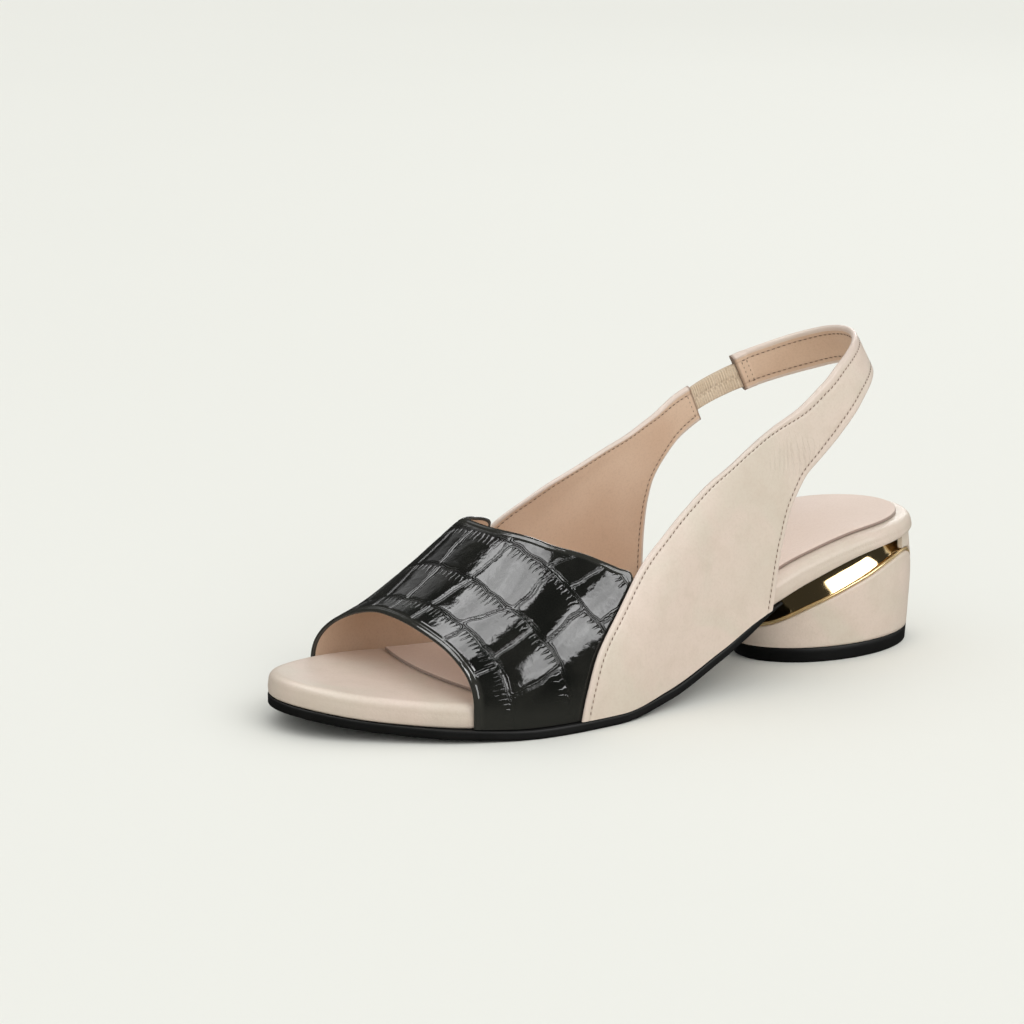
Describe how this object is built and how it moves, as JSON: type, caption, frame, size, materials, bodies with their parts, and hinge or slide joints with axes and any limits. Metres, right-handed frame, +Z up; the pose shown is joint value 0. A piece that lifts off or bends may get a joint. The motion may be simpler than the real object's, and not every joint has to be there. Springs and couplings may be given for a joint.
{
  "type": "slingback sandal",
  "caption": "Open-toe slingback sandal with a crocodile-embossed band over the toes, side quarters joined by an elastic heel strap, and a low oval block heel with a gold wedge.",
  "frame": {"origin": "on the floor, under the middle of the shoe's bounding box", "axes": "+X to the toe, +Y to the outer side of the foot, +Z up"},
  "size_m": [0.2472, 0.0926, 0.1134],
  "materials": {
    "nude_leather": "smooth satin nude calf",
    "sock_leather": "brushed pinkish lining leather",
    "patent_leather": "high gloss black, crocodile embossed",
    "sole_rubber": "semi matte black",
    "gold_metal": "polished gold plating",
    "elastic_webbing": "ribbed cream elastic"
  },
  "bodies": {
    "root": {"outsole": "sole_rubber", "footbed": "nude_leather", "sock": "sock_leather", "vamp": "patent_leather", "outer_quarter_strap": "nude_leather", "inner_quarter": "nude_leather", "elastic": "elastic_webbing", "heel_shell": "nude_leather", "heel_core": "gold_metal", "heel_bead": "gold_metal", "heel_spine": "nude_leather", "top_lift": "sole_rubber"}
  },
  "joints": []
}
